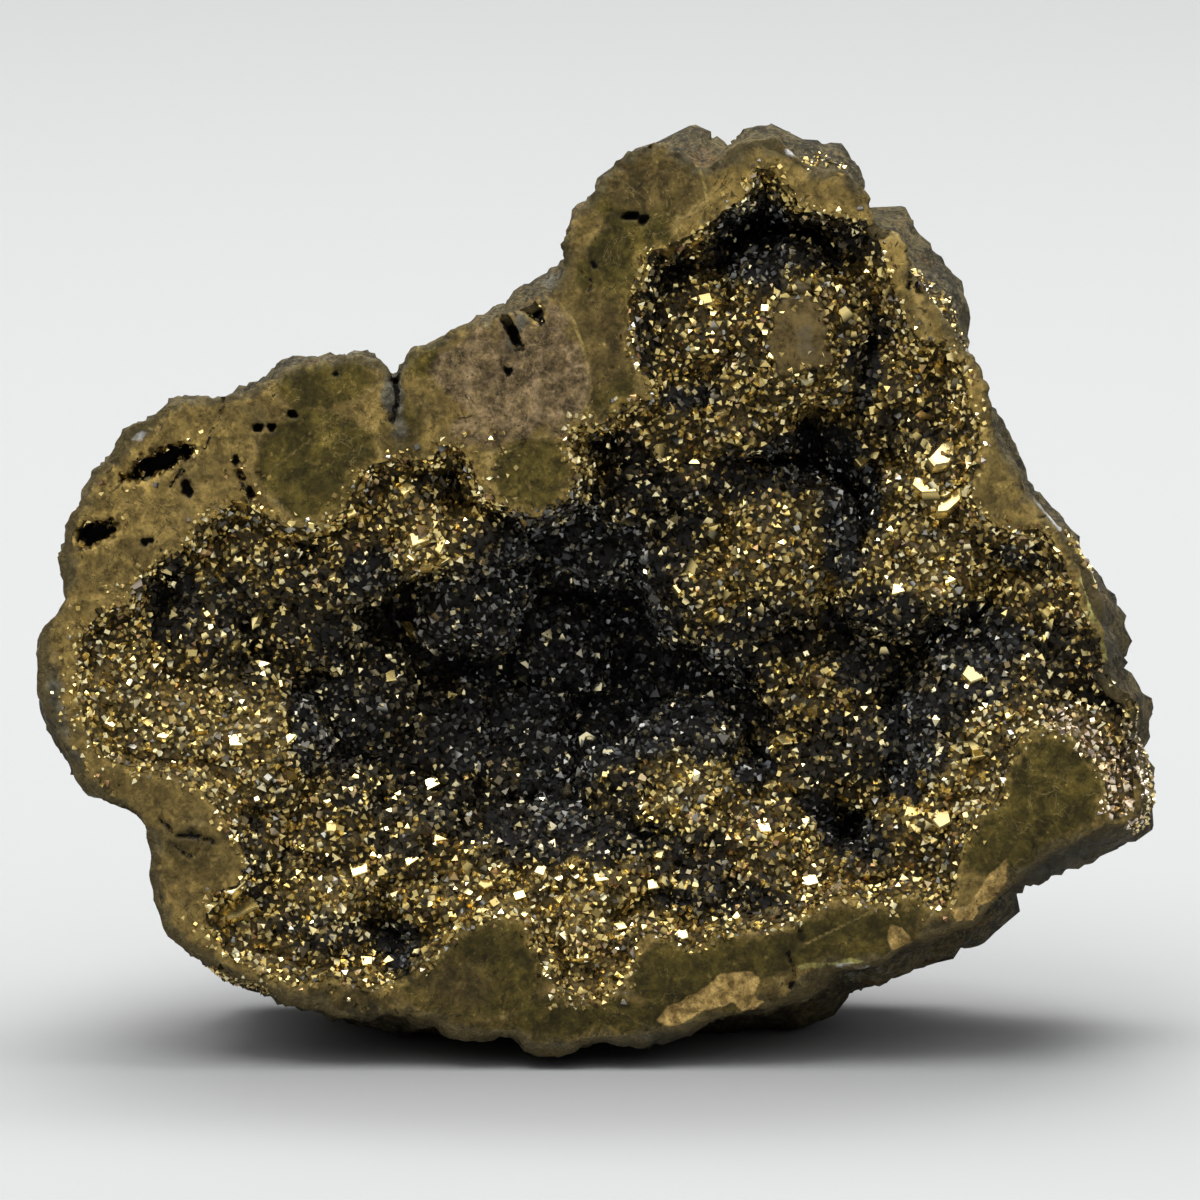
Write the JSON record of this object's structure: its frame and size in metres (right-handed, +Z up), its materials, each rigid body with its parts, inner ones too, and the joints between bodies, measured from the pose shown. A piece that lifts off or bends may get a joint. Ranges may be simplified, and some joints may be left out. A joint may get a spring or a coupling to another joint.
{
  "type": "chalcopyrite specimen",
  "caption": "Half of a natural geode, sawn flat, standing on a small flat spot, its hollow lined with a druse of brass-gold chalcopyrite crystals",
  "frame": {"origin": "centre of the footprint's bounding box, at the height of the flat spot it stands on", "axes": "+X to the right across the sawn face, +Z up, and the sawn face looks along -Y and leans back 8 degrees"},
  "size_m": [0.073, 0.0336, 0.0602],
  "materials": {
    "stone": "satin ochre and olive sawn face, rough grey-brown rind",
    "druse": "metallic brass-gold crystals, near black where they lie deep"
  },
  "bodies": {
    "root": {"stone": "stone", "crystal_crust": "druse"}
  },
  "joints": []
}
